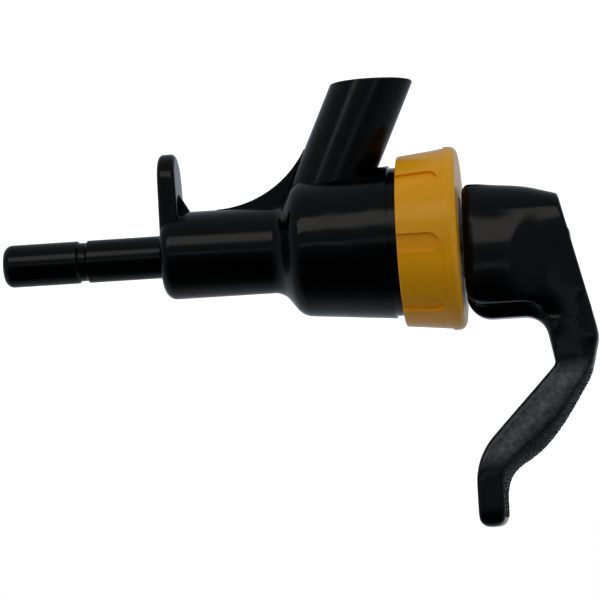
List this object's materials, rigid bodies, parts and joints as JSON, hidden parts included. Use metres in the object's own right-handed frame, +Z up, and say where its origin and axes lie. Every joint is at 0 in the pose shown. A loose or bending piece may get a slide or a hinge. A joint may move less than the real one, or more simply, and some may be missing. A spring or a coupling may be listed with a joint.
{
  "type": "beer party tap",
  "caption": "Hand-held plastic party tap with a push-fit inlet stem, slanted spout, amber union nut and a black cam lever that lifts a sprung valve.",
  "frame": {"origin": "centre of the inlet stem's free end, on the main axis", "axes": "+X along the main axis from the inlet stem to the lever, +Z up towards the lever's arm, so the spout points down"},
  "size_m": [0.1324, 0.0406, 0.1003],
  "materials": {
    "black_plastic": "gloss",
    "amber_plastic": "gloss",
    "natural_plastic": "satin",
    "rubber": "matte",
    "stainless": "satin"
  },
  "bodies": {
    "body": {"tap_body": "black_plastic", "union_nut": "amber_plastic", "bonnet_guide": "natural_plastic", "bonnet_seal": "rubber", "shaft_seal": "rubber", "closing_spring": "stainless"},
    "plunger": {"plunger": "natural_plastic", "valve_washer": "rubber"},
    "lever": {"lever_handle": "black_plastic", "pivot_pin": "stainless"}
  },
  "joints": [
    {"name": "plunger_slide", "type": "slide", "parent": "body", "child": "plunger", "axis": [1, 0, 0], "range_m": [0, 0.00455], "deforming": ["closing_spring"]},
    {"name": "lever_tilt", "type": "hinge", "parent": "plunger", "child": "lever", "pos_m": [0.10795, 0, 0], "axis": [0, -1, 0], "range_deg": [0, 20], "stiffness_Nm_per_rad": 0.15, "springref_deg": -25.78}
  ],
  "couplings": [
    {"joint": "plunger_slide", "follows": "lever_tilt", "m_per_rad": 0.013}
  ]
}
